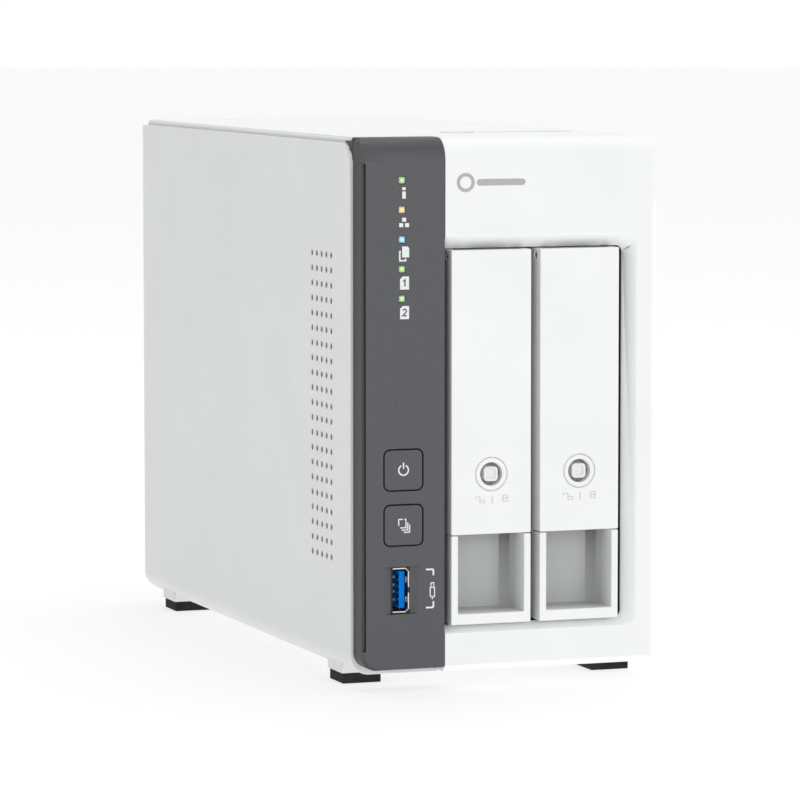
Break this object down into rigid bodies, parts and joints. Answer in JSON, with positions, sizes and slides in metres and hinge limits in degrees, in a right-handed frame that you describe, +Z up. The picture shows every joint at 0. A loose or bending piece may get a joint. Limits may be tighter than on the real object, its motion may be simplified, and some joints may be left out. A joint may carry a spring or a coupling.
{
  "type": "network attached storage",
  "caption": "Upright desktop network storage box with side-by-side drive trays behind a sloped frame, dark control strip, vented side cover and rear fan.",
  "frame": {"origin": "centre of the bounding box's underside, on the surface that the feet stand on", "axes": "+Z up, the front with the trays faces -Y, +X to the right seen from the front"},
  "size_m": [0.098, 0.2258, 0.1677],
  "materials": {
    "white_shell": "fine matt texture",
    "white_tray": "fine matt texture",
    "white_lock": "smooth satin",
    "dark_panel": "fine sparkled satin",
    "dark_button": "satin",
    "black_plastic": "satin",
    "fan_plastic": "satin",
    "clip_plastic": "satin",
    "clear_plastic": "polished",
    "diode": "gloss",
    "blue_plastic": "gloss",
    "flat_cable": "satin",
    "cable_jacket": "satin",
    "header_nylon": "satin",
    "rubber": "matt",
    "circuit_board": "solder mask gloss",
    "chip": "matt epoxy",
    "gold_contact": "gold plated",
    "brass_standoff": "machined",
    "plated_steel": "bright plated",
    "screw_steel": "zinc plated",
    "black_screw": "black oxide",
    "pin_steel": "ground",
    "cell_steel": "bright",
    "dark_steel": "matt powder coat",
    "anodised_aluminium": "anodised",
    "drive_casting": "cast",
    "drive_lid_steel": "satin"
  },
  "bodies": {
    "housing": {"left_cover": "white_shell", "main_shell": "white_shell", "front_bezel": "white_shell", "control_panel": "dark_panel", "rear_panel": "white_shell", "rubber_feet": "rubber", "light_guide": "clear_plastic", "front_board": "circuit_board", "status_diodes": "diode", "button_switches": "black_plastic", "front_cable": "flat_cable", "usb_front_shell": "plated_steel", "usb_front_tongue": "blue_plastic", "usb_front_contacts": "gold_contact", "drive_cage": "dark_steel", "guide_rails": "black_plastic", "cage_screws": "screw_steel", "backplane": "circuit_board", "drive_sockets": "black_plastic", "backplane_slot": "black_plastic", "main_board": "circuit_board", "board_standoffs": "brass_standoff", "board_screws": "screw_steel", "processor": "chip", "heat_sink": "anodised_aluminium", "memory_chips": "chip", "coin_cell": "cell_steel", "cell_holder": "black_plastic", "board_headers": "header_nylon", "buzzer": "black_plastic", "network_jacks": "plated_steel", "usb_rear_ports": "plated_steel", "dc_inlet": "black_plastic", "reset_switch": "black_plastic", "lock_plate": "plated_steel", "fan_frame": "black_plastic", "fan_screws": "black_screw", "fan_cable": "cable_jacket", "cover_screws": "screw_steel", "panel_screws": "screw_steel"},
    "tray_1": {"tray_1_frame": "white_tray", "tray_1_hinge_pin": "pin_steel", "tray_1_clips": "clip_plastic", "drive_1_case": "drive_casting", "drive_1_lid": "drive_lid_steel", "drive_1_board": "circuit_board"},
    "handle_1": {"tray_1_handle": "white_tray"},
    "lock_1": {"tray_1_lock": "white_lock"},
    "tray_2": {"tray_2_frame": "white_tray", "tray_2_hinge_pin": "pin_steel", "tray_2_clips": "clip_plastic", "drive_2_case": "drive_casting", "drive_2_lid": "drive_lid_steel", "drive_2_board": "circuit_board"},
    "handle_2": {"tray_2_handle": "white_tray"},
    "lock_2": {"tray_2_lock": "white_lock"},
    "power_button": {"power_button": "dark_button"},
    "copy_button": {"copy_button": "dark_button"},
    "reset_button": {"reset_button": "black_plastic"},
    "fan_rotor": {"fan_rotor": "fan_plastic"}
  },
  "joints": [
    {"name": "tray_1_slide", "type": "slide", "parent": "housing", "child": "tray_1", "axis": [0, -1, 0], "range_m": [0, 0.17]},
    {"name": "tray_1_handle_swing", "type": "hinge", "parent": "tray_1", "child": "handle_1", "pos_m": [-0.00625, -0.1087, 0.1314], "axis": [-1, 0, 0], "range_deg": [0, 35]},
    {"name": "tray_1_lock_turn", "type": "hinge", "parent": "handle_1", "child": "lock_1", "pos_m": [-0.00625, -0.1089, 0.0652], "axis": [0, -1, 0], "range_deg": [0, 90]},
    {"name": "tray_2_slide", "type": "slide", "parent": "housing", "child": "tray_2", "axis": [0, -1, 0], "range_m": [0, 0.17]},
    {"name": "tray_2_handle_swing", "type": "hinge", "parent": "tray_2", "child": "handle_2", "pos_m": [0.02261, -0.1087, 0.1314], "axis": [-1, 0, 0], "range_deg": [0, 35]},
    {"name": "tray_2_lock_turn", "type": "hinge", "parent": "handle_2", "child": "lock_2", "pos_m": [0.02261, -0.1089, 0.0652], "axis": [0, -1, 0], "range_deg": [0, 90]},
    {"name": "power_button_press", "type": "slide", "parent": "housing", "child": "power_button", "axis": [0, 1, 0], "range_m": [0, 0.0008], "stiffness_N_per_m": 400, "springref_m": -0.0008},
    {"name": "copy_button_press", "type": "slide", "parent": "housing", "child": "copy_button", "axis": [0, 1, 0], "range_m": [0, 0.0008], "stiffness_N_per_m": 400, "springref_m": -0.0008},
    {"name": "reset_button_press", "type": "slide", "parent": "housing", "child": "reset_button", "axis": [0, -1, 0], "range_m": [0, 0.0006], "stiffness_N_per_m": 200, "springref_m": -0.0006},
    {"name": "fan_spin", "type": "hinge", "parent": "housing", "child": "fan_rotor", "pos_m": [0.01, 0.1001, 0.096], "axis": [0, 1, 0], "continuous": true}
  ]
}
